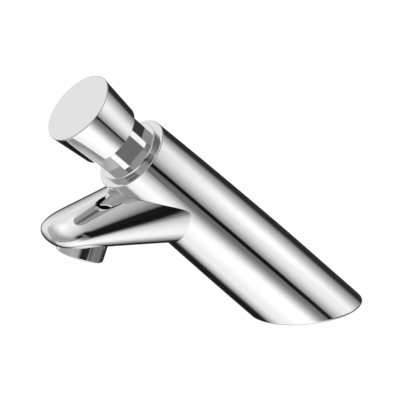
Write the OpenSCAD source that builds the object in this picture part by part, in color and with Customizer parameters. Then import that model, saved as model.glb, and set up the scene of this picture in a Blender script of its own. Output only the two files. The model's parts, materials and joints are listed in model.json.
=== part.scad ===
// Push timed tap: a leaning barrel body with a short spout, a hexagonal head nut and a
// push button that opens a self-closing valve. Millimetres, +Z up, the deck is at Z = 0,
// and the spout points along -Y. The origin is where the body's axis meets the deck.

/* [Body] */
// Angle between the body's axis and the deck
lean = 45; // [42:1:50]
// Length of the body's axis, from the deck to the end face
body_len = 144; // [140:1:156]
// Diameter of the body at its end face
body_top_d = 40; // [39:0.5:43]
// Diameter of the body where its axis meets the deck
body_base_d = 45.8; // [44:0.2:50]
// Radius of the arc that the body's outline follows
barrel_r = 4350; // [3000:50:8000]
// Bevel around the end face
end_bevel = 0.6; // [0.2:0.1:1]
// Diameter of the water chamber under the valve
chamber_d = 23; // [22:0.2:24]
// Distance along the axis from the deck to the chamber's floor
chamber_floor = 24; // [22:1:34]
// Diameter of the gallery around the cartridge
gallery_d = 29; // [27:0.5:31]
// Diameter of the port from the gallery to the spout
port_d = 12; // [8:0.5:13]

/* [Base] */
// Diameter of the inlet thread
inlet_d = 10; // [9:0.5:12]
// Depth of the inlet thread
inlet_depth = 11; // [8:0.5:12]
// Depth of the countersink at the inlet thread's mouth
inlet_sink = 0.6; // [0.3:0.1:0.8]
// Distance of the inlet in front of the origin
inlet_fwd = 14; // [13:0.5:15]
// Diameter of the thread for the fixing stud
stud_d = 8; // [6:0.5:10]
// Depth of the thread for the fixing stud
stud_depth = 14; // [10:0.5:16]
// Depth of the countersink at the mouth of the fixing stud's thread
stud_sink = 1.2; // [1:0.1:1.6]
// Distance of the fixing stud behind the origin
stud_back = 8; // [6:0.5:10]
// Thickness of the base gasket
gasket_t = 2; // [1:0.5:3]
// Width of the base gasket
gasket_w = 3; // [2:0.25:3.5]
// Wall left outside the gasket
gasket_edge = 3.4; // [2.5:0.1:4.5]
// Diameter of the strainer's tube
strainer_d = 6.8; // [5.5:0.1:7]
// Height of the strainer's tube
strainer_h = 6.5; // [4:0.5:8]
// Thickness of the strainer's flange
strainer_flange_t = 1.2; // [0.8:0.1:2]
// Step from the inlet thread's radius in to the strainer's flange
strainer_step = 0.5; // [0.3:0.1:0.7]
// Room around the strainer's tube
strainer_room = 0.5; // [0.3:0.1:0.6]
// Wall of the strainer
strainer_wall = 0.6; // [0.4:0.1:0.8]
// Number of slots in the strainer
strainer_slots = 8; // [5:1:9]

/* [Spout] */
// Distance down the axis from the end face to the spout's reference point
spout_drop = 44; // [42:0.5:47]
// Reach of the spout's tip in front of the reference point
spout_reach = 77.4; // [74:0.2:90]
// Length of the rounded nose
nose_len = 16.7; // [12:0.1:20]
// Width of the spout at the reference point
spout_root_w = 42.4; // [39:0.2:42.4]
// Width of the spout where the nose begins
spout_nose_w = 33.4; // [32:0.2:36]
// Height of the top line over the reference point
spout_rise = 29; // [26:0.5:30]
// Fall of the top line towards the tip, in degrees
top_fall = 18.3; // [14:0.1:19]
// Depth of the underside below the reference point
spout_under = 19.2; // [18:0.1:22]
// Climb of the underside towards the tip, in degrees
under_climb = 7.6; // [3:0.1:9]
// Height of the widest line over the reference point
wide_rise = 5.6; // [3:0.1:7]
// Fall of the widest line towards the tip, in degrees
wide_fall = 6.7; // [4:0.1:8]
// Wall of the hollow spout
spout_wall = 2.6; // [2:0.1:3.2]
// Roundness of the spout's upper half, where 2 is an ellipse
upper_round = 1.7; // [1.6:0.05:2]
// Roundness of the spout's lower half, where 2 is an ellipse
lower_round = 2.24; // [2:0.02:2.6]
// Roundness of the nose, where 2 is an ellipse
nose_round = 3; // [2.4:0.1:3.4]

/* [Outlet] */
// Distance of the outlet's mouth in front of the reference point
outlet_fwd = 60; // [57:0.5:61]
// Depth of the outlet's mouth below the reference point
outlet_drop = 16.5; // [16:0.1:18]
// Tilt of the outlet away from the body, in degrees
outlet_tilt = 20.5; // [14:0.5:22]
// Diameter of the aerator's collar
collar_d = 24.4; // [24:0.1:25.4]
// Height of the aerator's collar
collar_h = 9.6; // [9.4:0.1:10.5]
// Diameter of the aerator's thread
aerator_thread_d = 22; // [21:0.1:23]
// Length of the aerator's thread
aerator_thread_len = 6.5; // [5:0.1:7.5]
// Diameter of the bore through the aerator's ring
aerator_bore_d = 19.6; // [18.5:0.1:20]
// Height of the lip at the aerator's mouth
aerator_lip_h = 1.2; // [0.8:0.1:2]
// Width of the lip at the aerator's mouth
aerator_lip_w = 1; // [0.6:0.1:1.5]
// Bevel around the aerator's mouth
aerator_bevel = 0.8; // [0.4:0.1:1]
// Thickness of the outlet grid
grid_t = 3; // [2:0.1:4]
// Width of one cell of the outlet grid
grid_cell = 2.2; // [1.8:0.1:3]
// Thickness of the web between the grid's cells
grid_web = 0.7; // [0.5:0.1:1]
// Thickness of the screen
mesh_t = 0.6; // [0.4:0.1:1]
// Pitch of the screen's openings
mesh_pitch = 1.7; // [1.5:0.1:2.5]
// Width of one opening of the screen
mesh_hole = 1.1; // [0.8:0.1:1.2]
// Plain border around the screen
mesh_border = 1.2; // [0.8:0.1:2]
// Wall of the jet cup
jet_cup_wall = 1.2; // [0.8:0.1:1.6]
// Thickness of the plate that holds the jets
jet_plate_t = 2.4; // [1.6:0.1:3]
// Number of jets
jets = 12; // [8:1:14]
// Diameter of one jet
jet_d = 1.8; // [1.2:0.1:2]
// Thickness of the outlet's flat seal
outlet_seal_t = 1.6; // [1:0.1:2]
// Thickness of the lip above the outlet's seal
socket_lip_t = 1.5; // [1:0.1:2]
// Width of the outlet's flat seal
outlet_seal_w = 2.2; // [1.8:0.1:2.3]

/* [Head nut] */
// Width of the hexagon across its flats
hex_af = 26; // [25.5:0.1:27]
// Width across the flats cut on the hexagon's corners
hex_corner_w = 28.2; // [27.6:0.1:28.6]
// Height of the hexagon over the flange
hex_h = 20.4; // [18:0.2:22]
// Turn of the hexagon about the axis, in degrees
hex_turn = -1; // [-30:1:30]
// Diameter of the flange
flange_d = 33.4; // [32:0.2:36]
// Thickness of the flange
flange_h = 2.6; // [2:0.1:4]
// Bevel on the flange's upper edge
flange_bevel = 0.5; // [0.2:0.1:0.8]
// Diameter of the thread that holds the nut in the body
head_thread_d = 30; // [29:0.2:31]
// Length of the threaded skirt
skirt_len = 14; // [12:0.5:16]
// Diameter of the pocket for the return spring
pocket_d = 20; // [19:0.2:20.6]
// Thickness of the web under the pocket
web_t = 4; // [3:0.5:5]
// Diameter of the gland that holds the spindle's seal and bush
gland_d = 17; // [16.6:0.2:19]
// Height of the spindle's seal
gland_seal_h = 3.4; // [3:0.1:4]
// Height of the guide bush
bush_h = 10; // [8:0.5:12]
// Thickness of the clip under the bush
bush_clip_t = 1.2; // [0.8:0.1:1.6]
// Depth of the clip's groove in the gland's wall
bush_clip_bite = 0.9; // [0.6:0.1:1.2]
// Opening of the clip under the bush
bush_clip_gap = 5.6; // [4:0.2:7]
// Gap between the clip under the bush and the metering pin
bush_clip_room = 0.2; // [0.1:0.05:0.4]
// Height of the lip under the clip
gland_lip = 1.4; // [1:0.1:2]

/* [Button] */
// Diameter of the button at its lower rim
button_low_d = 33; // [32.4:0.2:36]
// Diameter of the button at its top
button_top_d = 37.8; // [36.4:0.2:42]
// Height of the button
button_h = 23; // [21:0.5:27]
// Gap between the flange and the button at rest
button_gap = 14; // [12:0.5:16]
// Thickness of the button's top
button_roof = 2.6; // [2:0.1:3.5]
// Rounding of the button's edges
button_edge = 0.5; // [0.2:0.1:0.8]
// Diameter of the boss inside the button
boss_d = 11; // [9:0.2:12]
// Length of the boss inside the button
boss_len = 9; // [7:0.5:10]
// Clear distance between the button and the hexagon
button_clear = 1; // [0.5:0.05:1.2]
// Travel of the button
stroke = 9; // [6:0.5:10]

/* [Spindle] */
// Diameter of the spindle
spindle_d = 10; // [9:0.2:10.4]
// Diameter of the thread at the top of the spindle
top_thread_d = 6; // [5:0.2:7]
// Width of the lock nut across its flats
lock_nut_af = 10; // [9:0.2:11]
// Height of the lock nut
lock_nut_h = 3.2; // [2.5:0.1:4]
// Diameter of the spindle inside the piston
piston_stub_d = 8; // [7.6:0.2:8.4]
// Diameter of the stem between the piston and the valve
stem_d = 7; // [6:0.2:7.4]
// Diameter of the thread at the bottom of the stem
stem_thread_d = 5; // [4:0.2:5.6]
// Length of the thread end past the last nut
thread_end = 1; // [0.5:0.1:2]

/* [Return spring] */
// Mean diameter of the coil
spring_d = 16; // [15.4:0.2:16.8]
// Diameter of the wire
wire_d = 1.6; // [1.2:0.1:1.8]
// Number of turns
spring_turns = 7; // [5:1:8]
// Thickness of the washer under the spring
spring_washer_t = 0.8; // [0.5:0.1:1.2]

/* [Cartridge] */
// Diameter of the cartridge sleeve
sleeve_d = 25; // [24.6:0.1:26]
// Diameter of the bore that the piston runs in
piston_bore_d = 20; // [19:0.1:20.6]
// Gap between the skirt of the nut and the piston at rest
piston_rest_gap = 4; // [3:0.5:6]
// Height of the piston
piston_h = 10; // [9:0.5:12]
// Room under the piston at the end of its travel
stop_gap = 0.3; // [0.2:0.1:1]
// Diameter of the outlet windows
window_d = 7; // [5:0.5:8]
// Number of outlet windows
windows = 6; // [4:1:7]
// Wall above and below the windows
window_margin = 2.2; // [1.5:0.1:3]
// Bore of the sleeve behind the windows
window_bore_d = 18; // [17:0.1:18.8]
// Thickness of the lip over the valve seat
seat_lip_t = 1.5; // [1:0.1:2.5]
// Bore of the lip over the valve seat
seat_lip_d = 15; // [13:0.2:17]
// Height of the valve seat
seat_h = 5; // [4.4:0.1:7]
// Outer diameter of the valve seat
seat_d = 19.2; // [18.6:0.1:19.6]
// Bore of the valve seat
seat_bore_d = 12; // [10:0.2:12.6]
// Height of the seat's nose
nose_h = 0.8; // [0.4:0.1:1.5]
// Width of the seat's nose
nose_w = 1.2; // [0.8:0.1:2]
// Depth of the grooves for the round seals
groove_depth = 1.35; // [1:0.05:1.5]
// Height of the grooves for the round seals
groove_h = 2; // [1.6:0.1:2.4]
// Distance of the upper round seals from the ends that they seal
groove_inset = 2.4; // [2:0.1:3]

/* [Piston and valve] */
// Height of the piston's lip seal
lip_seal_h = 4; // [3:0.1:5]
// Depth of the groove for the lip seal
lip_groove = 2.2; // [1.8:0.1:2.4]
// Height of the piston left above the lip seal
lip_top = 3.2; // [2:0.1:4]
// Diameter of the metering pin
pin_d = 1.2; // [0.8:0.1:1.3]
// Distance of the metering pin from the axis
pin_offset = 6.2; // [6.1:0.1:6.4]
// Depth of the metering pin in the bush
pin_seat = 4; // [3:0.5:6]
// Thickness of the clip under the piston
piston_clip_t = 1; // [0.6:0.1:1.4]
// Outer diameter of the clip under the piston
piston_clip_d = 10.8; // [9.6:0.1:10.8]
// Depth of the clip's groove in the spindle
piston_clip_bite = 0.8; // [0.5:0.1:1]
// Opening of the clip under the piston
piston_clip_gap = 3.2; // [2.4:0.2:4.8]
// Length of the spindle's stub past the clip
stub_tail = 1.2; // [0.8:0.1:2]
// Diameter of the valve washer
washer_d = 17; // [15.6:0.2:17.6]
// Thickness of the valve washer
washer_t = 3.5; // [2.5:0.1:4.5]
// Wall of the cup behind the valve washer
cup_wall = 1; // [0.8:0.1:1.4]
// Thickness of the cup's floor
cup_floor = 2; // [1.2:0.1:3]
// Height of the cup's rim over its floor
cup_rim = 2.2; // [1:0.1:2.4]
// Width of the stem nut across its flats
stem_nut_af = 8; // [7:0.2:9]
// Height of the stem nut
stem_nut_h = 4; // [2.5:0.1:5]

/* [Clearances] */
// Radial gap of pieces that slide in each other
run_gap = 0.05; // [0.03:0.01:0.08]
// Radial gap of pieces that are screwed or set in each other
set_gap = 0.05; // [0.02:0.01:0.1]
// Gap between the closed valve washer and its seat
valve_gap = 0.1; // [0.05:0.05:0.3]
// Radial gap around the metering pin in the piston
pin_gap = 0.1; // [0.05:0.01:0.1]

/* [Hidden] */
$fn = 96;
// Amount by which a cutting shape runs past what it cuts
over = 1;

chrome = "#d8dadd";
steel = "#a9abad";
brass = "#c39b54";
rubber = "#1f2022";
white_plastic = "#e9e7df";
grey_plastic = "#7d8084";

// Places along the body's axis, from the deck upwards
at_face = body_len;
at_flange = at_face + flange_h;
at_hex = at_flange + hex_h;
at_skirt = at_face - skirt_len;
at_bush_clip = at_skirt + gland_lip;
at_bush = at_bush_clip + bush_clip_t;
at_gland_seal = at_bush + bush_h;
at_gland = at_gland_seal + gland_seal_h;
at_pocket = at_gland + web_t;
at_button = at_flange + button_gap;
at_roof = at_button + button_h - button_roof;
at_boss = at_roof - boss_len;
at_spindle = at_boss - lock_nut_h;
at_piston_top = at_skirt - piston_rest_gap;
at_piston = at_piston_top - piston_h;
at_piston_clip = at_piston - piston_clip_t;
at_stub = at_piston_clip - stub_tail;
at_step = at_piston - stroke - stop_gap;
at_windows = at_step - window_margin - window_d / 2;
at_seat_lip = at_windows - window_d / 2 - window_margin;
at_seat = at_seat_lip - seat_lip_t;
at_shoulder = at_seat - seat_h;
at_washer = at_shoulder - nose_h - valve_gap;
at_cup = at_washer - washer_t;
at_stem_nut = at_cup - cup_floor;
at_stem_end = at_stem_nut - stem_nut_h - thread_end;
at_spout = body_len - spout_drop;
at_upper_groove = at_skirt - groove_inset;
at_lower_groove = at_shoulder + seat_h / 2 + groove_h / 2;
at_head_groove = at_face - groove_inset + groove_h / 2;
at_lip_seal = at_piston_top - lip_top - lip_seal_h;

// The barrel's arc passes through the end face's rim and the deck's diameter
chord_x = (body_top_d + body_base_d) / 4;
chord_half = sqrt(pow(body_len, 2) + pow((body_base_d - body_top_d) / 2, 2)) / 2;
chord_turn = atan2((body_base_d - body_top_d) / 2, body_len);
arc_depth = sqrt(pow(barrel_r, 2) - pow(chord_half, 2));
arc_centre = [chord_x - arc_depth * cos(chord_turn), body_len / 2 - arc_depth * sin(chord_turn)];
barrel_below = body_base_d;
// The arc is drawn as this many straight bands
barrel_bands = 12;
function barrel_radius(at) = arc_centre.x + sqrt(pow(barrel_r, 2) - pow(at - arc_centre.y, 2));

// Radii that neighbours share
head_bore_r = head_thread_d / 2 + set_gap;
sleeve_bore_r = sleeve_d / 2 + set_gap;
spindle_bore_r = spindle_d / 2 + run_gap;
gland_fit_r = gland_d / 2 - set_gap;
clip_groove_r = gland_d / 2 + bush_clip_bite;
hex_flat_r = hex_af / 2;
hex_corner_r = norm([hex_flat_r, (hex_corner_w / 2 - hex_flat_r * cos(30)) / sin(30)]);
button_cavity_r = hex_corner_r + button_clear;
gasket_out_r = body_base_d / 2 - gasket_edge;
gasket_in_r = gasket_out_r - gasket_w;
strainer_flange_r = inlet_d / 2 - strainer_step;
strainer_bore_r = strainer_d / 2 + strainer_room;
cup_r = washer_d / 2 + set_gap + cup_wall;
gallery_top = at_spout + sleeve_bore_r / tan(lean) + port_d / 2;
inlet_roof = (chamber_floor - inlet_fwd * cos(lean)) / sin(lean) + strainer_bore_r / tan(lean);

// Levels inside the outlet, from its mouth upwards
grid_at = aerator_lip_h;
mesh_at = grid_at + grid_t;
jet_cup_at = mesh_at + mesh_t;
ring_top = collar_h + aerator_thread_len;
socket_at = ring_top + outlet_seal_t;
socket_top = socket_at + socket_lip_t;
socket_hole_r = aerator_thread_d / 2 - outlet_seal_w;
insert_r = aerator_bore_d / 2 - set_gap;

// Puts its children on the body's axis, at a distance from the deck
module on_axis(at = 0) {
    rotate([90 - lean, 0, 0]) translate([0, 0, at]) children();
}

// Puts its children at the spout's reference point
module at_spout_root() {
    translate([0, -at_spout * cos(lean), at_spout * sin(lean)]) children();
}

// Puts its children on the outlet's axis, with its mouth at zero
module on_outlet() {
    at_spout_root() translate([0, -outlet_fwd, -outlet_drop]) rotate([-outlet_tilt, 0, 0]) children();
}

// A round bar between two places on the axis
module bar(r, low, high) {
    translate([0, 0, low]) cylinder(r = r, h = high - low);
}

// A ring between two places on the axis
module ring(outer, inner, low, high) {
    difference() {
        bar(outer, low, high);
        bar(inner, low - over, high + over);
    }
}

// A hexagonal bar, by its width across the flats
module hex_bar(af, low, high) {
    translate([0, 0, low]) cylinder(r = af / 2 / cos(30), h = high - low, $fn = 6);
}

// A round seal that fills the groove between two radii
module round_seal(inner, outer, mid) {
    seal_r = (outer - inner) / 2 - set_gap;
    translate([0, 0, mid]) rotate_extrude()
        translate([(inner + outer) / 2, 0]) circle(r = seal_r, $fn = 32);
}

// A flat clip with a gap on one side
module open_clip(outer, inner, low, thick, gap) {
    difference() {
        ring(outer, inner, low, low + thick);
        translate([0, -gap / 2, low - over]) cube([outer + over, gap, thick + 2 * over]);
    }
}

// A threaded hole up from the deck, with a countersunk mouth
module threaded_hole(d, depth, sink) {
    bar(d / 2, -over, depth);
    translate([0, 0, -over]) cylinder(r1 = d / 2 + sink + over, r2 = d / 2, h = sink + over);
}

// The body's outer form, before the deck cuts it
module barrel() {
    bevel_at = body_len - end_bevel;
    outline = [for (i = [0 : barrel_bands])
        let (at = -barrel_below + (bevel_at + barrel_below) * i / barrel_bands)
        [barrel_radius(at), at]];
    rotate_extrude() polygon(concat([[0, -barrel_below]], outline,
        [[body_top_d / 2 - end_bevel, body_len], [0, body_len]]));
}

// A slice of a leaning tube between two heights over the deck
module base_gasket_form(outer, inner, low, high) {
    intersection() {
        on_axis() ring(outer, inner, -barrel_below, barrel_below);
        translate([-body_base_d, -body_base_d, low])
            cube([2 * body_base_d, 2 * body_base_d, high - low]);
    }
}

module body() {
    color(chrome) difference() {
        on_axis() barrel();
        translate([-body_base_d, -2 * body_base_d, -3 * body_base_d])
            cube([2 * body_base_d, 4 * body_base_d, 3 * body_base_d]);
        on_axis() {
            bar(head_bore_r, at_skirt, at_face + over);
            bar(sleeve_bore_r, at_shoulder, at_face + over);
            bar(gallery_d / 2, at_seat_lip, gallery_top);
            bar(chamber_d / 2, chamber_floor, at_shoulder + over);
        }
        at_spout_root() rotate([90, 0, 0]) cylinder(d = port_d, h = body_base_d);
        translate([0, -inlet_fwd, 0]) {
            threaded_hole(inlet_d, inlet_depth, inlet_sink);
            bar(strainer_flange_r + set_gap, 0, inlet_depth + strainer_flange_t);
            bar(strainer_bore_r, 0, inlet_roof);
        }
        translate([0, stud_back, 0]) threaded_hole(stud_d, stud_depth, stud_sink);
        base_gasket_form(gasket_out_r + set_gap, gasket_in_r - set_gap, -over, gasket_t);
    }
}

// Points around one ring of the spout, and its rings along the straight part and the nose
around = 48;
straight_rings = 5;
nose_rings = 11;
// Powers of the sine and cosine that give each stretch its roundness
upper_power = 2 / upper_round;
lower_power = 2 / lower_round;
nose_power = 2 / nose_round;
nose_from = spout_reach - nose_len;
// The loft starts just in front of the axis, inside the body
loft_from = 6;

function signed_power(v, p) = sign(v) * pow(abs(v), p);
function spout_half_w(u) = (spout_root_w + (spout_nose_w - spout_root_w) * u / nose_from) / 2;
function spout_top_z(u) = spout_rise - u * tan(top_fall);
function spout_under_z(u) = -spout_under + u * tan(under_climb);
function spout_wide_z(u) = wide_rise - u * tan(wide_fall);
function spout_ring(u, shrink, inset) = [
    for (i = [0 : around - 1])
        let (a = 360 * i / around)
        let (up = sin(a) >= 0)
        let (p = up ? upper_power : lower_power)
        let (tall = up ? spout_top_z(u) - spout_wide_z(u) : spout_wide_z(u) - spout_under_z(u))
        [(spout_half_w(u) - inset) * shrink * signed_power(cos(a), p),
         -u,
         spout_wide_z(u) + (tall - inset) * shrink * signed_power(sin(a), p)]
];

// The spout's form between two forward distances, drawn in on every side by the inset
module spout_form(inset, from, reach) {
    nose_start = reach - nose_len;
    straight = [for (k = [0 : straight_rings - 1])
        spout_ring(from + (nose_start - from) * k / straight_rings, 1, inset)];
    nose = [for (k = [0 : nose_rings - 1])
        let (t = 90 * k / nose_rings)
        spout_ring(nose_start + nose_len * pow(sin(t), nose_power), pow(cos(t), nose_power), inset)];
    rings = concat(straight, nose);
    tip = len(rings) * around;
    back = tip + 1;
    points = concat([for (r = rings) each r],
        [[0, -reach, spout_wide_z(reach)], [0, -from, spout_wide_z(from)]]);
    sides = [for (k = [0 : len(rings) - 2], i = [0 : around - 1])
        let (a = k * around + i, b = k * around + (i + 1) % around)
        each [[a, a + around, b], [b, a + around, b + around]]];
    ends = [for (i = [0 : around - 1])
        let (j = (i + 1) % around, last = tip - around)
        each [[last + i, tip, last + j], [j, back, i]]];
    polyhedron(points = points, faces = concat(sides, ends), convexity = 6);
}

module spout() {
    color(chrome) difference() {
        at_spout_root() spout_form(0, loft_from, spout_reach);
        difference() {
            at_spout_root() spout_form(spout_wall, loft_from - over, outlet_fwd);
            on_outlet() bar(collar_d / 2 + spout_wall, -over, socket_top);
        }
        on_outlet() {
            bar(collar_d / 2 + set_gap, -collar_h, collar_h);
            bar(aerator_thread_d / 2 + set_gap, 0, socket_at);
            bar(socket_hole_r, 0, socket_top + over);
        }
        on_axis() barrel();
    }
}

module aerator_ring() {
    color(chrome) on_outlet() difference() {
        union() {
            cylinder(r1 = collar_d / 2 - aerator_bevel, r2 = collar_d / 2, h = aerator_bevel);
            bar(collar_d / 2, aerator_bevel, collar_h);
            bar(aerator_thread_d / 2, collar_h, ring_top);
        }
        bar(aerator_bore_d / 2 - aerator_lip_w, -over, ring_top + over);
        bar(aerator_bore_d / 2, aerator_lip_h, ring_top + over);
    }
}

module outlet_grid() {
    step = grid_cell + grid_web;
    rows = floor((insert_r - grid_web) / step);
    color(grey_plastic) on_outlet() translate([0, 0, grid_at]) linear_extrude(grid_t) difference() {
        circle(r = insert_r);
        for (i = [-rows : rows], j = [-rows : rows]) {
            spot = [step * (i + j / 2), step * j * cos(30)];
            if (norm(spot) + grid_cell / 2 < insert_r - grid_web)
                translate(spot) rotate(30) circle(d = grid_cell, $fn = 6);
        }
    }
}

module aerator_mesh() {
    reach = insert_r - mesh_border;
    count = floor(reach / mesh_pitch);
    color(steel) on_outlet() translate([0, 0, mesh_at]) linear_extrude(mesh_t) difference() {
        circle(r = insert_r);
        for (i = [-count : count], j = [-count : count])
            if (norm([i, j]) * mesh_pitch + mesh_hole / 2 < reach)
                translate([i, j] * mesh_pitch) square(mesh_hole, center = true);
    }
}

module jet_cup() {
    jet_ring_r = insert_r - jet_cup_wall - jet_d;
    color(white_plastic) on_outlet() difference() {
        bar(insert_r, jet_cup_at, ring_top);
        bar(insert_r - jet_cup_wall, jet_cup_at - over, ring_top - jet_plate_t);
        for (i = [0 : jets - 1])
            rotate([0, 0, 360 * i / jets]) translate([jet_ring_r, 0, 0])
                bar(jet_d / 2, jet_cup_at, ring_top + over);
    }
}

module outlet_seal() {
    color(rubber) on_outlet() ring(aerator_thread_d / 2, socket_hole_r, ring_top, socket_at);
}

module head_nut() {
    color(chrome) on_axis() difference() {
        union() {
            bar(head_thread_d / 2, at_skirt, at_face);
            bar(flange_d / 2, at_face, at_flange - flange_bevel);
            translate([0, 0, at_flange - flange_bevel])
                cylinder(r1 = flange_d / 2, r2 = flange_d / 2 - flange_bevel, h = flange_bevel);
            rotate([0, 0, hex_turn]) intersection() {
                rotate([0, 0, 30]) hex_bar(hex_af, at_face, at_hex);
                hex_bar(hex_corner_w, at_face, at_hex);
            }
        }
        bar(pocket_d / 2, at_pocket, at_hex + over);
        bar(spindle_bore_r, at_gland - over, at_pocket + over);
        bar(gland_d / 2, at_skirt - over, at_gland);
        bar(clip_groove_r, at_bush_clip, at_bush);
        ring(head_thread_d, head_thread_d / 2 - groove_depth,
            at_head_groove - groove_h, at_head_groove);
    }
}

module head_seal() {
    color(rubber) on_axis()
        round_seal(head_thread_d / 2 - groove_depth, head_bore_r, at_head_groove - groove_h / 2);
}

module spindle_seal() {
    lip = gland_seal_h / 3;
    wall = gland_fit_r - spindle_bore_r;
    color(rubber) on_axis(at_gland_seal) rotate_extrude() polygon([
        [spindle_bore_r, 0], [spindle_bore_r + wall / 3, 0], [spindle_bore_r + wall / 2, lip],
        [gland_fit_r - wall / 3, 0], [gland_fit_r, 0], [gland_fit_r, gland_seal_h],
        [spindle_bore_r, gland_seal_h]]);
}

module guide_bush() {
    color(white_plastic) on_axis() difference() {
        ring(gland_fit_r, spindle_bore_r, at_bush, at_gland_seal);
        translate([0, pin_offset, 0]) bar(pin_d / 2 + set_gap, at_bush - over, at_bush + pin_seat);
    }
}

module bush_clip() {
    inner = pin_offset + pin_d / 2 + bush_clip_room;
    color(steel) on_axis()
        open_clip(clip_groove_r - set_gap, inner, at_bush_clip, bush_clip_t, bush_clip_gap);
}

module metering_pin() {
    color(steel) on_axis() translate([0, pin_offset, 0])
        bar(pin_d / 2, at_step + window_margin / 2, at_bush + pin_seat);
}

module push_button() {
    taper = (button_top_d - button_low_d) / 2 / button_h;
    low_r = button_low_d / 2;
    top_r = button_top_d / 2;
    color(chrome) on_axis() difference() {
        translate([0, 0, at_button]) rotate_extrude() polygon([
            [0, 0], [low_r - button_edge, 0], [low_r + taper * button_edge, button_edge],
            [top_r - taper * button_edge, button_h - button_edge], [top_r - button_edge, button_h],
            [0, button_h]]);
        difference() {
            bar(button_cavity_r, at_button - over, at_roof);
            bar(boss_d / 2, at_boss, at_roof + over);
        }
        bar(top_thread_d / 2 + set_gap, at_boss - over, at_roof - thread_end / 2);
    }
}

module lock_nut() {
    color(steel) on_axis() difference() {
        hex_bar(lock_nut_af, at_spindle, at_boss);
        bar(top_thread_d / 2 + set_gap, at_spindle - over, at_boss + over);
    }
}

module spindle() {
    color(brass) on_axis() difference() {
        union() {
            bar(top_thread_d / 2, at_spindle, at_roof - thread_end);
            bar(spindle_d / 2, at_piston_top, at_spindle);
            bar(piston_stub_d / 2, at_stub, at_piston_top);
            bar(stem_d / 2, at_washer, at_stub);
            bar(stem_thread_d / 2, at_stem_end, at_washer);
        }
        ring(spindle_d, piston_stub_d / 2 - piston_clip_bite, at_piston_clip, at_piston);
    }
}

module spring_washer() {
    color(steel) on_axis() ring(pocket_d / 2 - run_gap, spindle_bore_r + run_gap,
        at_pocket, at_pocket + spring_washer_t);
}

// Path and sides of the return spring's wire
curl_rings = 8;
wire_sides = 6;
spring_low = at_pocket + spring_washer_t + wire_d / 2;
spring_high = at_roof - wire_d / 2;
spring_steps = spring_turns * curl_rings;
spring_pitch = (spring_high - spring_low) / spring_turns;
spring_slope = atan2(spring_pitch, PI * spring_d);
function spring_point(k) = let (a = 360 * k / curl_rings)
    [spring_d / 2 * cos(a), spring_d / 2 * sin(a), spring_low + spring_pitch * k / curl_rings];
function spring_wire(k) = let (a = 360 * k / curl_rings)
    [for (i = [0 : wire_sides - 1])
        let (b = 360 * i / wire_sides)
        let (out = [cos(a), sin(a), 0])
        let (up = [sin(spring_slope) * sin(a), -sin(spring_slope) * cos(a), cos(spring_slope)])
        spring_point(k) + wire_d / 2 * (cos(b) * out + sin(b) * up)];
spring_gap = min([for (k = [0 : spring_steps], m = [0 : spring_steps])
    if (m - k > curl_rings / 2) norm(spring_point(m) - spring_point(k))]) - wire_d;
echo(least_spring_gap = spring_gap);

module return_spring() {
    rings = [for (k = [0 : spring_steps]) spring_wire(k)];
    last = spring_steps * wire_sides;
    sides = [for (k = [0 : spring_steps - 1], i = [0 : wire_sides - 1])
        let (a = k * wire_sides + i, b = k * wire_sides + (i + 1) % wire_sides)
        each [[a, a + wire_sides, b], [b, a + wire_sides, b + wire_sides]]];
    ends = [for (i = [1 : wire_sides - 2]) each [[0, i, i + 1], [last, last + i + 1, last + i]]];
    color(steel) on_axis() polyhedron(points = [for (r = rings) each r],
        faces = concat(sides, ends), convexity = 10);
}

module cartridge_sleeve() {
    color(brass) on_axis() difference() {
        bar(sleeve_d / 2, at_shoulder, at_skirt);
        bar(piston_bore_d / 2, at_step, at_skirt + over);
        bar(window_bore_d / 2, at_seat_lip, at_step + over);
        bar(seat_lip_d / 2, at_seat - over, at_seat_lip + over);
        bar(seat_d / 2 + set_gap, at_shoulder - over, at_seat);
        for (i = [0 : windows - 1])
            rotate([0, 0, 360 * i / windows]) translate([0, 0, at_windows]) rotate([90, 0, 0])
                cylinder(d = window_d, h = sleeve_d);
        for (top = [at_upper_groove, at_lower_groove])
            ring(sleeve_d, sleeve_d / 2 - groove_depth, top - groove_h, top);
    }
}

module sleeve_seal(top) {
    color(rubber) on_axis() round_seal(sleeve_d / 2 - groove_depth, sleeve_bore_r, top - groove_h / 2);
}

module piston() {
    color(white_plastic) on_axis() difference() {
        ring(piston_bore_d / 2 - run_gap, piston_stub_d / 2 + set_gap, at_piston, at_piston_top);
        ring(piston_bore_d, piston_bore_d / 2 - lip_groove, at_lip_seal, at_lip_seal + lip_seal_h);
        translate([0, pin_offset, 0]) bar(pin_d / 2 + pin_gap, at_piston - over, at_piston_top + over);
    }
}

module piston_seal() {
    inner = piston_bore_d / 2 - lip_groove + set_gap;
    outer = piston_bore_d / 2 - run_gap;
    wall = outer - inner;
    color(rubber) on_axis(at_lip_seal) rotate_extrude() polygon([
        [inner, 0], [outer - wall / 3, 0], [outer - wall / 3, lip_seal_h / 3],
        [outer, lip_seal_h - wall / 3], [outer, lip_seal_h], [outer - wall / 3, lip_seal_h],
        [inner + wall / 3, lip_seal_h / 2], [inner, lip_seal_h / 2]]);
}

module piston_clip() {
    groove_r = piston_stub_d / 2 - piston_clip_bite + set_gap;
    color(steel) on_axis()
        open_clip(piston_clip_d / 2, groove_r, at_piston_clip, piston_clip_t, piston_clip_gap);
}

module valve_seat() {
    nose_r = seat_bore_d / 2 + nose_w;
    color(steel) on_axis() difference() {
        union() {
            bar(seat_d / 2, at_shoulder, at_seat);
            bar(nose_r, at_shoulder - nose_h, at_shoulder);
        }
        bar(seat_bore_d / 2, at_shoulder - nose_h - over, at_seat + over);
    }
}

module valve_washer() {
    color(rubber) on_axis() ring(washer_d / 2, stem_thread_d / 2 + set_gap, at_cup, at_washer);
}

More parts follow.
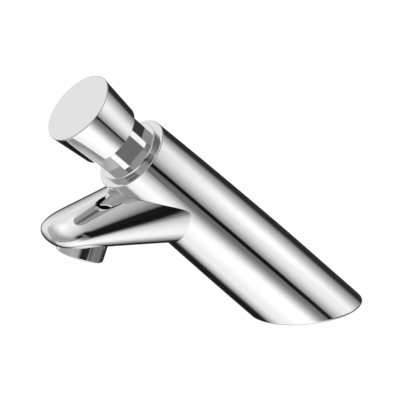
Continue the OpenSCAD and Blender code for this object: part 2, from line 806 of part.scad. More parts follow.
module washer_cup() {
    color(brass) on_axis() difference() {
        bar(cup_r, at_stem_nut, at_cup + cup_rim);
        bar(washer_d / 2 + set_gap, at_cup, at_cup + cup_rim + over);
        bar(stem_thread_d / 2 + set_gap, at_stem_nut - over, at_cup + over);
    }
}

module stem_nut() {
    color(steel) on_axis() difference() {
        hex_bar(stem_nut_af, at_stem_nut - stem_nut_h, at_stem_nut);
        bar(stem_thread_d / 2 + set_gap, at_stem_end, at_stem_nut + over);
    }
}

module inlet_strainer() {
    slots_at = inlet_depth + strainer_flange_t + strainer_wall;
    tube_top = inlet_depth + strainer_flange_t + strainer_h;
    color(steel) translate([0, -inlet_fwd, 0]) difference() {
        union() {
            bar(strainer_flange_r, inlet_depth, inlet_depth + strainer_flange_t);
            bar(strainer_d / 2, inlet_depth, tube_top);
        }
        bar(strainer_d / 2 - strainer_wall, inlet_depth - over, tube_top - strainer_wall);
        for (i = [0 : strainer_slots - 1])
            rotate([0, 0, 360 * i / strainer_slots]) translate([0, -strainer_wall, slots_at])
                cube([strainer_d, 2 * strainer_wall, strainer_h - 3 * strainer_wall]);
    }
}

module base_gasket() {
    color(rubber) base_gasket_form(gasket_out_r, gasket_in_r, 0, gasket_t);
}

body();
spout();
head_nut();
push_button();
spindle();
lock_nut();
return_spring();
spring_washer();
spindle_seal();
guide_bush();
bush_clip();
head_seal();
cartridge_sleeve();
sleeve_seal(at_upper_groove);  // sleeve_seal_upper
sleeve_seal(at_lower_groove);  // sleeve_seal_lower
metering_pin();
piston();
piston_seal();
piston_clip();
valve_seat();
valve_washer();
washer_cup();
stem_nut();
inlet_strainer();
base_gasket();
aerator_ring();
outlet_grid();
aerator_mesh();
jet_cup();
outlet_seal();
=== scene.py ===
"""Push timed tap in bright chrome: smooth pieces, finishes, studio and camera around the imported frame."""
import json
import math

import bmesh
import bpy
from mathutils import Matrix, Vector


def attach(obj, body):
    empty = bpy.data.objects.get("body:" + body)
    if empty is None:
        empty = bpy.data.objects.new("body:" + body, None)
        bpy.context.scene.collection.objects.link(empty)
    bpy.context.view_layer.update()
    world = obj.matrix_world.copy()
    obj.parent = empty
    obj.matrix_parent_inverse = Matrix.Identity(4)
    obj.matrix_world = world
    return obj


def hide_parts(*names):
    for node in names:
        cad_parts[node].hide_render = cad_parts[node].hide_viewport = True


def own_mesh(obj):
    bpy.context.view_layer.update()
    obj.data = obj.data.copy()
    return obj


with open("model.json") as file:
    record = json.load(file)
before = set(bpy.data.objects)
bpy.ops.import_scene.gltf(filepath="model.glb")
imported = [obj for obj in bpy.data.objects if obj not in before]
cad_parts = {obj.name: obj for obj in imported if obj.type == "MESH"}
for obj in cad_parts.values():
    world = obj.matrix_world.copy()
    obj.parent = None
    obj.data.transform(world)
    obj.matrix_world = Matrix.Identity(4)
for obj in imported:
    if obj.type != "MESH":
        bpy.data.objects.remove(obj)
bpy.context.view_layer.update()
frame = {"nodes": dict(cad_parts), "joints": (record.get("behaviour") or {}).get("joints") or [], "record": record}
scene = bpy.context.scene

# Millimetres are the unit of every size below, and a finished piece is scaled to metres
MM = 0.001
ROUND = 192
ARC_STEPS = 6
WELD = 0.01
RIM_DEPTH = 0.01
SHARP = math.radians(28)

# Directions of the tap: up the leaning body, to the side, and up the tilted outlet
rise = -Vector(frame["joints"][0]["axis"]).normalized()
side = Vector((1, 0, 0))
OUTLET_TILT = math.radians(20.5)
outlet_up = Vector((0, math.sin(OUTLET_TILT), math.cos(OUTLET_TILT)))
BODY_TILT = -math.asin(rise.z)


def points_of(node):
    """Corners of a CAD node in millimetres."""
    return [vertex.co / MM for vertex in frame["nodes"][node].data.vertices]


def levels(node, along=rise):
    """Lowest and highest level of a CAD node along a direction."""
    found = [point.dot(along) for point in points_of(node)]
    return min(found), max(found)


def mouth_of(node, along):
    """Middle of a CAD node's lowest edge along a direction."""
    lowest = levels(node, along)[0]
    rim = [point for point in points_of(node) if point.dot(along) < lowest + RIM_DEPTH]
    low = Vector(map(min, zip(*rim)))
    high = Vector(map(max, zip(*rim)))
    return (low + high) / 2


# Levels along the body's axis, from the frame
END_FACE = levels("body")[1]
SKIRT, HEX_TOP = levels("head_nut")
SHOULDER = levels("cartridge_sleeve")[0]
BUTTON_LOW, BUTTON_TOP = levels("push_button")
POCKET = levels("spring_washer")[0]
GLAND = levels("spindle_seal")[1]
STRAINER_LOW, STRAINER_TOP = levels("inlet_strainer", Vector((0, 0, 1)))
SPRING_LOW, SPRING_TOP = levels("return_spring")
outlet_mouth = mouth_of("aerator_ring", outlet_up)

# Body
BODY_END_R = 20
BODY_DECK_R = 22.9
BARREL_ARC = 4350
BARREL_STEPS = 40
DECK_BAND = 34
DECK_ROUND = 1.2
DECK_SEGMENTS = 5
END_BEVEL = 0.6
CHAMBER_R = 11.5
CHAMBER_FLOOR = 24
SLEEVE_BORE_R = 12.55
HEAD_BORE_R = 15.05
GASKET_OUT_R = 19.55
GASKET_IN_R = 16.45
GASKET_DEPTH = 2
STUD_PLACE = Vector((0, 8, 0))
STUD_R = 4
STUD_SINK = 1.2
STUD_DEPTH = 14
INLET_PLACE = Vector((0, -14, 0))
INLET_R = 5
INLET_SINK = 0.6
STRAINER_FLANGE_R = 4.55
STRAINER_FLANGE_TOP = 12.2
STRAINER_BORE_R = 3.9
STRAINER_HEADROOM = 0.3

# Spout, from its reference point on the body's axis
SPOUT_DROP = 44
SPOUT_REACH = 77.4
NOSE_LEN = 16.7
ROOT_W = 43
NOSE_W = 33.4
TOP_RISE = 29
TOP_FALL = math.tan(math.radians(18.3))
UNDER_DROP = 19.2
UNDER_CLIMB = math.tan(math.radians(7.6))
WIDE_RISE = 5.6
WIDE_FALL = math.tan(math.radians(6.7))
UPPER_POWER = 2 / 1.7
LOWER_POWER = 2 / 2.24
NOSE_POWER = 2 / 3
SECTION_SOFTNESS = 0.1
SPOUT_AROUND = 160
STRAIGHT_ROWS = 28
NOSE_ROWS = 32
ROOT_SUNK = 2
SEAM_W = 0.4
SEAM_SHRINK = 0.98
CAP_ROWS = 8
HALVINGS = 40

# Head nut
HEX_SIDES = 6
HEX_FLAT_R = 13
HEX_CORNER_R = 14.1
HEX_TURN = math.radians(-1)
HEX_EDGE = 0.4
HEX_EDGE_SEGMENTS = 4
FLANGE_R = 16.7
FLANGE_H = 2.6
FLANGE_BEVEL = 0.4
FOOT_R = 15
SKIRT_R = 15
POCKET_R = 10
SPINDLE_BORE_R = 5.05
GLAND_R = 8.5

# Button
BUTTON_LOW_R = 16.5
BUTTON_TOP_R = 18.9
BUTTON_EDGE = 0.5
BUTTON_ROOF = 2.6
CAVITY_R = 15.2
BOSS_R = 5.5
BOSS_LEN = 9
BOSS_HOLE_R = 3.05

# Aerator ring
COLLAR_R = 12.2
COLLAR_H = 9.6
COLLAR_BEVEL = 0.8
RING_THREAD_R = 11
RING_H = 16.1
RING_BORE_R = 9.8
RING_LIP_R = 8.8
RING_LIP_H = 1.2

# Return spring
SPRING_R = 8
WIRE_R = 0.8
SPRING_TURNS = 7
TURN_STEPS = 40
WIRE_SIDES = 16
BUTTON_TRAVEL = frame["joints"][0]["range_m"][1] / MM


def outline(*corners):
    """Points of an outline from (radius, level) corners. A third number rounds its corner."""
    points = []
    for index, corner in enumerate(corners):
        here = Vector(corner[:2])
        if len(corner) == 2:
            points.append(here)
            continue
        before = (Vector(corners[index - 1][:2]) - here).normalized()
        after = (Vector(corners[index + 1][:2]) - here).normalized()
        half = before.angle(after) / 2
        centre = here + (before + after).normalized() * corner[2] / math.sin(half)
        start = here + before * corner[2] / math.tan(half) - centre
        end = here + after * corner[2] / math.tan(half) - centre
        points += [centre + start.slerp(end, step / ARC_STEPS) * corner[2] for step in range(ARC_STEPS + 1)]
    return points


def lathe(bm, points, centre=Vector(), axis=rise):
    """Turns an outline of (radius, level) points about an axis."""
    across = axis.orthogonal().normalized()
    verts = [bm.verts.new(centre + axis * level + across * radius) for radius, level in points]
    edges = [bm.edges.new(pair) for pair in zip(verts, verts[1:])]
    bmesh.ops.spin(bm, geom=verts + edges, cent=centre, axis=axis, angle=math.tau, steps=ROUND,
                   use_merge=True)


def loop_of(bm, points):
    """Edges of a closed loop through some points."""
    verts = [bm.verts.new(point) for point in points]
    return [bm.edges.new(pair) for pair in zip(verts, verts[1:] + verts[:1])]


def circle_points(radius, centre, axis=Vector((0, 0, 1)), stretch=1.0):
    """Points of a circle about an axis, stretched along Y."""
    turn = axis.to_track_quat("Z", "Y")
    angles = [math.tau * step / ROUND for step in range(ROUND)]
    flat = [Vector((radius * math.cos(a), radius * math.sin(a) * stretch, 0)) for a in angles]
    return [centre + turn @ point for point in flat]


def drawn(bm, edges, move):
    """Extrudes a loop of edges by a move and gives the new loop."""
    made = bmesh.ops.extrude_edge_only(bm, edges=edges)["geom"]
    bmesh.ops.translate(bm, vec=move, verts=[item for item in made if isinstance(item, bmesh.types.BMVert)])
    return [item for item in made if isinstance(item, bmesh.types.BMEdge)
            and sum(vert in made for vert in item.verts) == 2]


def countersunk(bm, place, radius, depth):
    """Sloping mouth of a hole in the underside, as its outer and inner loop."""
    mouth = loop_of(bm, circle_points(radius + depth, place))
    throat = loop_of(bm, circle_points(radius, place + Vector((0, 0, depth))))
    bmesh.ops.bridge_loops(bm, edges=mouth + throat)
    return mouth, throat


def filled(bm, *loops):
    """Fills the flat space between one outer loop and the loops inside it."""
    bmesh.ops.triangle_fill(bm, use_beauty=True, edges=[edge for loop in loops for edge in loop])


def finished(bm, name, body, slot, *nodes):
    """Makes a piece of a bmesh, in metres, on its body and in place of its CAD nodes."""
    bmesh.ops.remove_doubles(bm, verts=bm.verts, dist=WELD)
    bmesh.ops.recalc_face_normals(bm, faces=bm.faces)
    bmesh.ops.scale(bm, vec=(MM, MM, MM), verts=bm.verts)
    mesh = bpy.data.meshes.new(name)
    bm.to_mesh(mesh)
    bm.free()
    mesh.shade_smooth()
    mesh.set_sharp_from_angle(angle=SHARP)
    mesh.materials.append(finishes[slot])
    piece = bpy.data.objects.new(name, mesh)
    scene.collection.objects.link(piece)
    even = piece.modifiers.new("flat faces stay flat", "WEIGHTED_NORMAL")
    even.keep_sharp = True
    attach(piece, body)
    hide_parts(*nodes)
    return piece


def barrel_radius(level):
    """Radius of the body's slightly bowed outline at a level of its axis."""
    straight = BODY_DECK_R + (BODY_END_R - BODY_DECK_R) * level / END_FACE
    return straight + level * (END_FACE - level) / (2 * BARREL_ARC)


def rings_deck(edge):
    """Whether an edge runs around the barrel's skin close to the deck."""
    low, high = sorted(vert.co.dot(rise) for vert in edge.verts)
    skin = all((vert.co - rise * vert.co.dot(rise)).length > BODY_END_R for vert in edge.verts)
    return skin and high - low < WELD and high < DECK_BAND and not edge.is_boundary


def make_body():
    """Leaning barrel with its bores, cut level at the deck, with a gasket groove and two holes below."""
    bm = bmesh.new()
    weight = bm.edges.layers.float.new("bevel_weight_edge")
    lowest = -2 * BODY_DECK_R
    highest = END_FACE - END_BEVEL
    steps = [lowest + (highest - lowest) * step / BARREL_STEPS for step in range(BARREL_STEPS)]
    barrel = [(barrel_radius(level), level) for level in steps]
    inside = [(HEAD_BORE_R, END_FACE, END_BEVEL / 2), (HEAD_BORE_R, SKIRT), (SLEEVE_BORE_R, SKIRT),
              (SLEEVE_BORE_R, SHOULDER), (CHAMBER_R, SHOULDER), (CHAMBER_R, CHAMBER_FLOOR),
              (0, CHAMBER_FLOOR)]
    lathe(bm, outline((0, lowest), *barrel, (BODY_END_R, END_FACE, END_BEVEL), *inside))
    bmesh.ops.remove_doubles(bm, verts=bm.verts, dist=WELD)
    bmesh.ops.bisect_plane(bm, geom=bm.verts[:] + bm.edges[:] + bm.faces[:], plane_co=(0, 0, 0),
                           plane_no=(0, 0, 1), clear_inner=True)
    bmesh.ops.dissolve_edges(bm, edges=[edge for edge in bm.edges if rings_deck(edge)], use_verts=True)
    rim = [edge for edge in bm.edges if edge.is_boundary]
    stretch = 1 / rise.z
    groove_out = drawn(bm, rim, Vector())
    for vert in {vert for edge in groove_out for vert in edge.verts}:
        flat = Vector((vert.co.x, vert.co.y / stretch)).normalized() * GASKET_OUT_R
        vert.co = (flat.x, flat.y * stretch, 0)
    groove_in = loop_of(bm, circle_points(GASKET_IN_R, Vector(), stretch=stretch))
    stud_mouth, stud = countersunk(bm, STUD_PLACE, STUD_R, STUD_SINK)
    inlet_mouth, inlet = countersunk(bm, INLET_PLACE, INLET_R, INLET_SINK)
    filled(bm, groove_in, stud_mouth, inlet_mouth)
    groove_move = rise * GASKET_DEPTH / rise.z
    filled(bm, drawn(bm, groove_out, groove_move), drawn(bm, groove_in, groove_move))
    filled(bm, drawn(bm, stud, Vector((0, 0, STUD_DEPTH - STUD_SINK))))
    ledge = drawn(bm, inlet, Vector((0, 0, STRAINER_LOW - INLET_SINK)))
    pocket = loop_of(bm, circle_points(STRAINER_FLANGE_R, INLET_PLACE + Vector((0, 0, STRAINER_LOW))))
    filled(bm, ledge, pocket)
    shelf = drawn(bm, pocket, Vector((0, 0, STRAINER_FLANGE_TOP - STRAINER_LOW)))
    bore = loop_of(bm, circle_points(STRAINER_BORE_R, INLET_PLACE + Vector((0, 0, STRAINER_FLANGE_TOP))))
    filled(bm, shelf, bore)
    filled(bm, drawn(bm, bore, Vector((0, 0, STRAINER_TOP + STRAINER_HEADROOM - STRAINER_FLANGE_TOP))))
    bmesh.ops.recalc_face_normals(bm, faces=bm.faces)
    steepness = {edge: math.tan(edge.calc_face_angle() / 2) for edge in rim}
    steepest = max(steepness.values())
    for edge, steep in steepness.items():
        edge[weight] = steep / steepest
    body = finished(bm, "barrel_body", "tap", "chrome", "body")
    rounded = body.modifiers.new("one radius around the deck's edge", "BEVEL")
    rounded.limit_method = "WEIGHT"
    rounded.width = DECK_ROUND * steepest * MM
    rounded.segments = DECK_SEGMENTS
    # The rounding comes before the even normals
    body.modifiers.move(1, 0)


spout_origin = rise * (END_FACE - SPOUT_DROP)


def soft_power(value, power):
    """A signed power of a sine or cosine that stays smooth through zero."""
    return value * ((value * value + SECTION_SOFTNESS) / (1 + SECTION_SOFTNESS)) ** ((power - 1) / 2)


def spout_point(forward, angle, shrink=1.0):
    """Point of the spout's skin, at a distance in front of the reference point and an angle around it."""
    up = math.sin(angle)
    power = (UPPER_POWER + LOWER_POWER) / 2 + (UPPER_POWER - LOWER_POWER) / 2 * up
    half_w = (ROOT_W + (NOSE_W - ROOT_W) * forward / (SPOUT_REACH - NOSE_LEN)) / 2
    top = TOP_RISE - forward * TOP_FALL
    under = -UNDER_DROP + forward * UNDER_CLIMB
    wide = WIDE_RISE - forward * WIDE_FALL
    tall = (top - under) / 2 + ((top + under) / 2 - wide) * up
    across = half_w * soft_power(math.cos(angle), power) * shrink
    high = wide + tall * soft_power(up, power) * shrink
    return spout_origin + Vector((across, -forward, high))


def root_distance(angle, sunk, shrink=1.0):
    """How far in front of the reference point a line along the spout is sunk this deep in the body."""
    def depth(forward):
        point = spout_point(forward, angle, shrink)
        level = point.dot(rise)
        return barrel_radius(level) - (point - rise * level).length

    near = max(0, (spout_point(0, angle, shrink) - spout_origin).z) / (1 + TOP_FALL)
    far = SPOUT_REACH - NOSE_LEN
    if depth(near) < sunk:
        return near
    for _ in range(HALVINGS):
        middle = (near + far) / 2
        near, far = (middle, far) if depth(middle) > sunk else (near, middle)
    return near


def make_spout():
    """Short spout from a thin seam at the body to a rounded nose, closed inside the body's wall."""
    bm = bmesh.new()
    angles = [math.tau * (step + 0.5) / SPOUT_AROUND for step in range(SPOUT_AROUND)]
    seams = [root_distance(angle, 0) + SEAM_W for angle in angles]
    nose_from = SPOUT_REACH - NOSE_LEN
    rings = []
    for row in range(CAP_ROWS + 1):
        shrink = SEAM_SHRINK * row / CAP_ROWS
        rings.append([spout_point(root_distance(angle, ROOT_SUNK, shrink), angle, shrink)
                      for angle in angles])
    rings.append([spout_point(seam, angle, SEAM_SHRINK) for seam, angle in zip(seams, angles)])
    for row in range(STRAIGHT_ROWS):
        share = row / STRAIGHT_ROWS
        rings.append([spout_point(seam + (nose_from - seam) * share, angle)
                      for seam, angle in zip(seams, angles)])
    for row in range(NOSE_ROWS + 1):
        turn = math.pi / 2 * row / NOSE_ROWS
        forward = nose_from + NOSE_LEN * math.sin(turn) ** NOSE_POWER
        shrink = max(0, math.cos(turn)) ** NOSE_POWER
        rings.append([spout_point(forward, angle, shrink) for angle in angles])
    loops = [loop_of(bm, ring) for ring in rings]
    for before, after in zip(loops, loops[1:]):
        bmesh.ops.bridge_loops(bm, edges=before + after)
    finished(bm, "hollow_spout", "tap", "chrome", "spout")


def make_head_nut():
    """Hexagonal nut with small flats on its corners, a bevelled flange and a threaded skirt."""
    bm = bmesh.new()
    flange_top = END_FACE + FLANGE_H
    lathe(bm, outline(
        (FOOT_R, flange_top), (FLANGE_R, flange_top, FLANGE_BEVEL), (FLANGE_R, END_FACE, FLANGE_BEVEL / 2),
        (SKIRT_R, END_FACE), (SKIRT_R, SKIRT), (GLAND_R, SKIRT), (GLAND_R, GLAND), (SPINDLE_BORE_R, GLAND),
        (SPINDLE_BORE_R, POCKET), (POCKET_R, POCKET), (POCKET_R, HEX_TOP)))
    bmesh.ops.remove_doubles(bm, verts=bm.verts, dist=WELD)
    open_edges = [edge for edge in bm.edges if edge.is_boundary]
    foot = [edge for edge in open_edges if edge.verts[0].co.dot(rise) < POCKET]
    pocket = [edge for edge in open_edges if edge.verts[0].co.dot(rise) > POCKET]
    upright = rise.cross(side)
    half_side = math.pi / HEX_SIDES
    half_flat = (HEX_CORNER_R - HEX_FLAT_R * math.cos(half_side)) / math.sin(half_side)
    hexagon = []
    for flat in range(HEX_SIDES):
        for across in (-half_flat, half_flat):
            angle = 2 * half_side * flat + math.atan2(across, HEX_FLAT_R) + HEX_TURN
            around = side * math.cos(angle) + upright * math.sin(angle)
            hexagon.append(around * math.hypot(HEX_FLAT_R, across) + rise * flange_top)
    low = loop_of(bm, hexagon)
    high = drawn(bm, low, rise * (HEX_TOP - flange_top))
    filled(bm, foot, low)
    filled(bm, high, pocket)
    bmesh.ops.recalc_face_normals(bm, faces=bm.faces)
    uprights = [edge for edge in bm.edges if abs(edge.calc_length() - (HEX_TOP - flange_top)) < WELD
                and (edge.verts[0].co - rise * edge.verts[0].co.dot(rise)).length > HEX_FLAT_R]
    bmesh.ops.bevel(bm, geom=uprights, offset=HEX_EDGE, offset_type="OFFSET", segments=HEX_EDGE_SEGMENTS,
                    profile=0.5, affect="EDGES", material=-1)
    finished(bm, "hexagon_head_nut", "tap", "chrome", "head_nut")


def make_button():
    """Push button: a cone that widens to its flat top, hollow below, with a threaded boss."""
    bm = bmesh.new()
    roof = BUTTON_TOP - BUTTON_ROOF
    lathe(bm, outline(
        (0, BUTTON_TOP), (BUTTON_TOP_R, BUTTON_TOP, BUTTON_EDGE), (BUTTON_LOW_R, BUTTON_LOW, BUTTON_EDGE),
        (CAVITY_R, BUTTON_LOW), (CAVITY_R, roof), (BOSS_R, roof), (BOSS_R, roof - BOSS_LEN),
        (BOSS_HOLE_R, roof - BOSS_LEN), (BOSS_HOLE_R, roof - BUTTON_EDGE), (0, roof - BUTTON_EDGE)))
    finished(bm, "button_cap", "plunger", "chrome", "push_button")


def make_aerator_ring():
    """Threaded ring at the outlet, bevelled around its mouth, with an inner lip."""
    bm = bmesh.new()
    corners = outline(
        (RING_LIP_R, 0), (COLLAR_R, 0, COLLAR_BEVEL), (COLLAR_R, COLLAR_H), (RING_THREAD_R, COLLAR_H),
        (RING_THREAD_R, RING_H), (RING_BORE_R, RING_H), (RING_BORE_R, RING_LIP_H), (RING_LIP_R, RING_LIP_H),
        (RING_LIP_R, 0))
    lathe(bm, corners, outlet_mouth, outlet_up)
    finished(bm, "outlet_ring", "tap", "chrome", "aerator_ring")


def make_spring():
    """Return spring: a wire wound along the body's axis, at its rest length."""
    bm = bmesh.new()
    first = rise * (SPRING_LOW + WIRE_R) + side * SPRING_R
    pitch = (SPRING_TOP - SPRING_LOW - 2 * WIRE_R) / SPRING_TURNS
    wire = [first + (side * math.cos(a) + rise * math.sin(a)) * WIRE_R
            for a in [math.tau * step / WIRE_SIDES for step in range(WIRE_SIDES)]]
    edges = loop_of(bm, wire)
    verts = [edge.verts[0] for edge in edges]
    bmesh.ops.spin(bm, geom=verts + edges, cent=(0, 0, 0), axis=rise, dvec=rise * pitch / TURN_STEPS,
                   angle=math.tau * SPRING_TURNS, steps=TURN_STEPS * SPRING_TURNS)
    bmesh.ops.holes_fill(bm, edges=[edge for edge in bm.edges if edge.is_boundary])
    coil = finished(bm, "return_spring_coil", "tap", "steel", "return_spring")
    length = SPRING_TOP - SPRING_LOW
    rise * SPRING_LOW * MM
    (length - BUTTON_TRAVEL) / length
    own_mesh(coil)


class Value:
    """A shader socket whose sums, products and powers add Math nodes."""

    def __init__(self, board, socket):
        self.board = board
        self.socket = socket

    def math(self, operation, *others):
        return self.board.node("Math", {"operation": operation}, [self, *others])

    def reflected(self, operation, other):
        return self.board.node("Math", {"operation": operation}, [other, self])

    def __add__(self, other):
        return self.math("ADD", other)

    def __sub__(self, other):
        return self.math("SUBTRACT", other)

    def __mul__(self, other):
        return self.math("MULTIPLY", other)

    def __truediv__(self, other):
        return self.math("DIVIDE", other)

    def __pow__(self, other):
        return self.math("POWER", other)

    def __gt__(self, other):
        return self.math("GREATER_THAN", other)

    def __rsub__(self, other):
        return self.reflected("SUBTRACT", other)

    __radd__ = __add__
    __rmul__ = __mul__


class Board:
    """The node tree of one material or of the world."""

    def __init__(self, owner):
        owner.use_nodes = True
        self.tree = owner.node_tree
        self.tree.nodes.clear()

    def node(self, kind, settings=(), inputs=(), output=0):
        """Adds a shader node, sets it up, feeds its inputs and gives one output."""
        made = self.tree.nodes.new("ShaderNode" + kind)
        for name, value in dict(settings).items():
            setattr(made, name, value)
        pairs = inputs.items() if isinstance(inputs, dict) else enumerate(inputs)
        for key, value in pairs:
            if isinstance(value, Value):
                self.tree.links.new(value.socket, made.inputs[key])
            else:
                made.inputs[key].default_value = value
        return Value(self, made.outputs[output]) if made.outputs else None


# Sockets of a Mix node that mixes colours
MIX_SHARE, MIX_ONE, MIX_OTHER, MIX_RESULT = 0, 6, 7, 2
# How closely a lathe's lines lie across its axis, twice, and along it
TOOL_LINES = (60, 60, 5000)


def grain(board, place, scale, detail):
    """Cloudy grain of a size, as a value around one half."""
    return board.node("TexNoise", {}, {"Vector": place, "Scale": scale, "Detail": detail})


def turned_lines(board, place):
    """Fine lines that a lathe leaves around the body's axis."""
    upright = board.node("Mapping", {}, {"Vector": place, "Rotation": (BODY_TILT, 0, 0)})
    drawn_out = board.node("VectorMath", {"operation": "MULTIPLY"}, [upright, TOOL_LINES])
    return grain(board, drawn_out, scale=1.0, detail=3.0)


def two_tones(board, share, one, other):
    """A colour between two, by a share."""
    colours = {MIX_SHARE: share, MIX_ONE: (*one, 1), MIX_OTHER: (*other, 1)}
    return board.node("Mix", {"data_type": "RGBA"}, colours, output=MIX_RESULT)


def uneven(least, *parts):
    """A value that starts at its least and rises with each pattern by up to an amount."""
    value = least
    for pattern, most in parts:
        value = pattern * most + value
    return value


def raised(board, height, depth, strength):
    """Normal of a surface with a relief of a depth in metres."""
    return board.node("Bump", {}, {"Height": height, "Distance": depth, "Strength": strength})


def finish(name, recipe):
    """A material whose shader sockets come from a recipe on Object coordinates."""
    material = bpy.data.materials.new(name)
    board = Board(material)
    place = board.node("TexCoord", output="Object")
    shader = board.node("BsdfPrincipled", {}, recipe(board, place))
    board.node("OutputMaterial", {}, {"Surface": shader})
    return material


def chrome(board, place):
    """Polished plating: even and bright, with a faint ripple and thin smears in its gloss."""
    smear = grain(board, place, scale=70.0, detail=5.0)
    ripple = grain(board, place, scale=120.0, detail=2.0)
    return {
        "Base Color": two_tones(board, smear, (0.845, 0.845, 0.845), (0.87, 0.87, 0.87)),
        "Metallic": 1.0,
        "Roughness": uneven(0.015, (smear, 0.03)),
        "Normal": raised(board, ripple, depth=0.00001, strength=0.3),
    }


def brass(board, place):
    """Turned brass with fine tool lines and a slight tarnish."""
    lines = turned_lines(board, place)
    tarnish = grain(board, place, scale=150.0, detail=5.0)
    return {
        "Base Color": two_tones(board, tarnish, (0.62, 0.43, 0.16), (0.86, 0.68, 0.36)),
        "Metallic": 1.0,
        "Roughness": uneven(0.12, (lines, 0.2), (tarnish, 0.1)),
        "Normal": raised(board, lines, depth=0.00003, strength=0.5),
    }


def steel(board, place):
    """Bright drawn steel with fine lines and an uneven gloss."""
    lines = turned_lines(board, place)
    cloud = grain(board, place, scale=300.0, detail=4.0)
    return {
        "Base Color": two_tones(board, cloud, (0.5, 0.5, 0.51), (0.7, 0.7, 0.7)),
        "Metallic": 1.0,
        "Roughness": uneven(0.14, (lines, 0.15), (cloud, 0.12)),
        "Normal": raised(board, lines, depth=0.00002, strength=0.4),
    }


def rubber(board, place):
    """Moulded black rubber, matt and finely pitted, with a grey bloom."""
    pits = grain(board, place, scale=6000.0, detail=2.0)
    bloom = grain(board, place, scale=200.0, detail=5.0)
    return {
        "Base Color": two_tones(board, bloom, (0.012, 0.012, 0.013), (0.06, 0.06, 0.062)),
        "Roughness": uneven(0.5, (bloom, 0.25)),
        "Normal": raised(board, pits, depth=0.00005, strength=0.5),
    }


def white_plastic(board, place):
    """Machined white plastic with faint lines and a warm unevenness."""
    lines = turned_lines(board, place)
    cloud = grain(board, place, scale=90.0, detail=4.0)
    return {
        "Base Color": two_tones(board, cloud, (0.78, 0.76, 0.7), (0.88, 0.87, 0.83)),
        "Roughness": uneven(0.35, (lines, 0.15)),
        "Normal": raised(board, lines, depth=0.00002, strength=0.4),
    }


def grey_plastic(board, place):
    """Moulded grey plastic with a fine spark-eroded grain."""
    spark = grain(board, place, scale=4000.0, detail=2.0)
    cloud = grain(board, place, scale=250.0, detail=4.0)
    return {
        "Base Color": two_tones(board, cloud, (0.24, 0.245, 0.26), (0.36, 0.37, 0.39)),
        "Roughness": uneven(0.38, (cloud, 0.2)),
        "Normal": raised(board, spark, depth=0.00004, strength=0.5),
    }


recipes = (chrome, brass, steel, rubber, white_plastic, grey_plastic)
finishes = {recipe.__name__: finish(recipe.__name__ + "_finish", recipe) for recipe in recipes}

for subpart in frame["record"]["subparts"]:
    for used in frame["nodes"][subpart["node"]].material_slots:
        used.material = finishes[subpart["material_slot"]]

make_body()
make_spout()
make_head_nut()
make_button()
make_aerator_ring()
make_spring()

# Studio: white all round, where the chrome also mirrors soft dark flags and brighter panels.
# Each has the azimuth and height of its middle, its half width, half height and turn in degrees,
# the share of it that is even, and how much it darkens
STUDIO = {
    "wall behind": (-117, -23, 58, 36, 44, 0.6, 0.9),
    "edge of the wall behind": (-142, 7, 59, 38, -20, 0.15, 0.75),
    "slot beside the lower panel": (118, -13, 19, 6, 43, 0.4, 0.96),
    "tip of the lower slot": (131, -21, 6, 2.7, 48, 0.4, 0.95),
    "slot beside the camera": (100, 9, 2.9, 40, -11, 0.6, 0.95),
    "bend of the upper slot": (92, 40.5, 14, 4.2, 76, 0.1, 0.85),
    "ledge under the camera": (79.7, -10.5, 31, 1.7, 20, 0.33, 0.98),
    "shade on the lower panel": (156, -36, 78, 34, 14, 0, 0.82),
    "shade at the lower slot": (105, -27.5, 13, 38, 48, 0, 0.43),
    "shade over the back": (138, 48, 74, 42, -52, 0.26, 0.84),
    "shade in front": (17, 24, 77, 62, -3, 0, 0.83),
    "shade beside the camera": (84, 22, 16, 37, -12, 0.07, 0.98),
    "shade under the camera": (22, -6.3, 25, 6.4, -14, 0.5, 0.7),
    "shade below": (-111, -52, 78, 42, 6, 0, 0.89),
    "shade on the far side": (-43, -9, 77, 44, 63, 0.75, 0.12),
    "lower panel": (106, -49, 32, 38, -1, 0.2, -0.2),
    "back panel": (171, 8, 52, 6, -3, 0.1, -0.17),
    "panel over the front": (9, 32, 58, 47, 10, 0.33, -1),
}
CORNER_POWER = 4


def direction_axes(azimuth, height, turn):
    """Unit vectors towards a place in the studio, and across and up at it."""
    azimuth, height, turn = map(math.radians, (azimuth, height, turn))
    middle = Vector((math.sin(azimuth) * math.cos(height), -math.cos(azimuth) * math.cos(height),
                     math.sin(height)))
    level = middle.cross(Vector((0, 0, 1))).normalized()
    across = level * math.cos(turn) + level.cross(middle) * math.sin(turn)
    return middle, across, across.cross(middle)


def patch(board, direction, azimuth, height, half_width, half_height, turn, even, depth):
    """What one flag or panel leaves of the white in a direction."""
    middle, across, up = direction_axes(azimuth, height, turn)

    def along(vector):
        return board.node("VectorMath", {"operation": "DOT_PRODUCT"}, [direction, vector], output="Value")

    ahead = along(middle)
    wide = along(across / math.tan(math.radians(half_width))) / ahead
    tall = along(up / math.tan(math.radians(half_height))) / ahead
    powers = wide.math("ABSOLUTE") ** CORNER_POWER + tall.math("ABSOLUTE") ** CORNER_POWER
    reach = powers ** (1 / CORNER_POWER)
    share = board.node("MapRange", {"interpolation_type": "SMOOTHSTEP"},
                       {"Value": reach, "From Min": even, "From Max": 1.0, "To Min": depth, "To Max": 0.0})
    return 1 - share * (ahead > 0)


def make_world():
    """White surroundings for the camera, with the studio's flags and panels for everything else."""
    world = bpy.data.worlds.new("studio")
    scene.world = world
    board = Board(world)
    direction = board.node("TexCoord", output="Generated")
    light = 1.0
    for values in STUDIO.values():
        light = patch(board, direction, *values) * light
    seen = board.node("LightPath", output="Is Camera Ray")
    white = (1, 1, 1, 1)
    studio = board.node("Background", {}, {"Color": light})
    plain = board.node("Background", {}, {"Color": white})
    mixed = board.node("MixShader", {}, [seen, studio, plain])
    board.node("OutputWorld", {}, {"Surface": mixed})


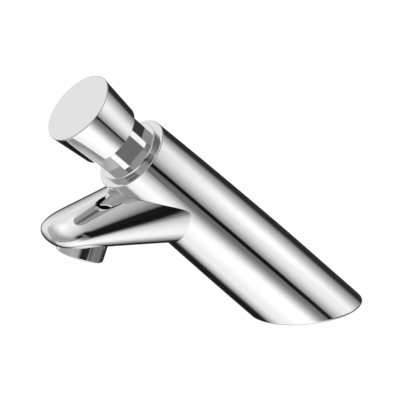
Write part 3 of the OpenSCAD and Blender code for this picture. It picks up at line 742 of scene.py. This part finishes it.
FLOOR_SIZE = 12.0
FLOOR_DEPTH = 0.0001
FLOOR_COLOUR = (0.4, 0.4, 0.4, 1)
FLOOR_GLOW = (0.85, 0.85, 0.85, 1)


def make_floor():
    """Pale floor that reads as white with a faint shadow. The chrome mirrors the studio in its place."""
    bm = bmesh.new()
    bmesh.ops.create_grid(bm, x_segments=1, y_segments=1, size=FLOOR_SIZE)
    bmesh.ops.translate(bm, vec=(0, 0, -FLOOR_DEPTH), verts=bm.verts)
    mesh = bpy.data.meshes.new("studio_floor")
    bm.to_mesh(mesh)
    bm.free()
    material = bpy.data.materials.new("pale_floor")
    board = Board(material)
    seen = board.node("LightPath", output="Is Camera Ray")
    matt = board.node("BsdfDiffuse", {}, {"Color": FLOOR_COLOUR})
    glow = board.node("Emission", {}, {"Color": FLOOR_GLOW})
    lifted = board.node("AddShader", {}, [matt, glow])
    mixed = board.node("MixShader", {}, [seen, matt, lifted])
    board.node("OutputMaterial", {}, {"Surface": mixed})
    mesh.materials.append(material)
    floor = bpy.data.objects.new("studio_floor", mesh)
    floor.visible_glossy = False
    scene.collection.objects.link(floor)


make_world()
make_floor()

# Camera, at the photograph's place and angle
CAMERA_AZIMUTH = 62.363
CAMERA_HEIGHT = 20.841
CAMERA_DISTANCE = 1084.57
CAMERA_ACROSS = -56.5
CAMERA_UP = 55.8
FOCAL_PIXELS = 2057
PHOTO_PIXELS = 400
SENSOR = 36.0
FARTHEST = 100


def make_camera():
    """Camera that sees the tap as the photograph does."""
    back, left, up = direction_axes(CAMERA_AZIMUTH, CAMERA_HEIGHT, 0)
    across = -left
    place = (back * CAMERA_DISTANCE + across * CAMERA_ACROSS + up * CAMERA_UP) * MM
    data = bpy.data.cameras.new("photo_camera")
    data.sensor_width = SENSOR
    data.lens = SENSOR * FOCAL_PIXELS / PHOTO_PIXELS
    data.clip_end = FARTHEST
    camera = bpy.data.objects.new("photo_camera", data)
    scene.collection.objects.link(camera)
    camera.matrix_world = Matrix.Translation(place) @ Matrix((across, up, back)).transposed().to_4x4()
    scene.camera = camera


make_camera()

scene.view_settings.view_transform = "Standard"
